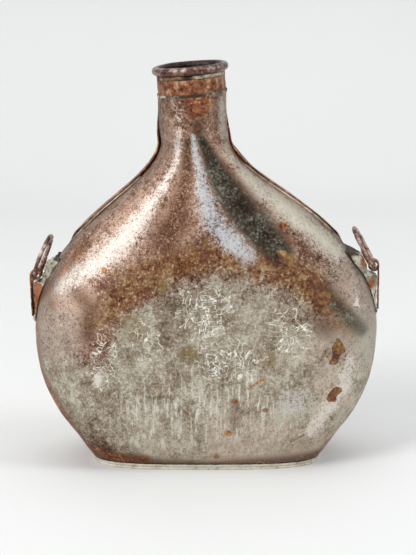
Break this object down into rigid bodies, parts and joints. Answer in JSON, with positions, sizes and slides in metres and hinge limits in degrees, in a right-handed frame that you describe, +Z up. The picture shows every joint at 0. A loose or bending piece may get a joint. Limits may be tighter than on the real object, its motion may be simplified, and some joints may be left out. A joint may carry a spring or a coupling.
{
  "type": "pilgrim flask",
  "caption": "Flat-bellied pilgrim flask of tinned sheet copper with a round neck, a rolled open mouth, a flat foot and swinging strap rings on its shoulders.",
  "frame": {"origin": "centre of the flat underside of the base plate, on the surface the flask stands on", "axes": "+Z is up; the front face looks along -Y; +X is to the right seen from the front"},
  "size_m": [0.175, 0.0586, 0.2009],
  "materials": {
    "tinned_copper": "worn tinned copper with brown patina",
    "base_copper": "worn tinned copper",
    "collar_copper": "orange-brown patina",
    "rim_copper": "worn tinned copper",
    "iron_wire": "dark iron wire",
    "strap_copper": "orange-brown patina",
    "loop_solder": "pitted grey-green solder",
    "ring_wire": "worn tinned copper wire",
    "solder": "dull grey solder"
  },
  "bodies": {
    "body": {"front_shell": "tinned_copper", "back_shell": "tinned_copper", "base_plate": "base_copper", "base_solder": "solder", "left_seam_solder": "solder", "right_seam_solder": "solder", "neck_collar": "collar_copper", "lower_collar_solder": "solder", "mouth_rim": "rim_copper", "rim_wire": "iron_wire", "upper_collar_solder": "solder", "left_strap_loop": "strap_copper", "left_loop_solder": "loop_solder", "right_strap_loop": "strap_copper", "right_loop_solder": "loop_solder"},
    "left_ring": {"left_ring": "ring_wire"},
    "right_ring": {"right_ring": "ring_wire"}
  },
  "joints": [
    {"name": "left_ring_swing", "type": "hinge", "parent": "body", "child": "left_ring", "pos_m": [-0.08493, 0, 0.0952], "axis": [-0.1045, -0.9945, 0], "range_deg": [0, 190]},
    {"name": "right_ring_swing", "type": "hinge", "parent": "body", "child": "right_ring", "pos_m": [0.08353, 0, 0.1], "axis": [0.0872, 0.9962, 0], "range_deg": [0, 195]}
  ]
}
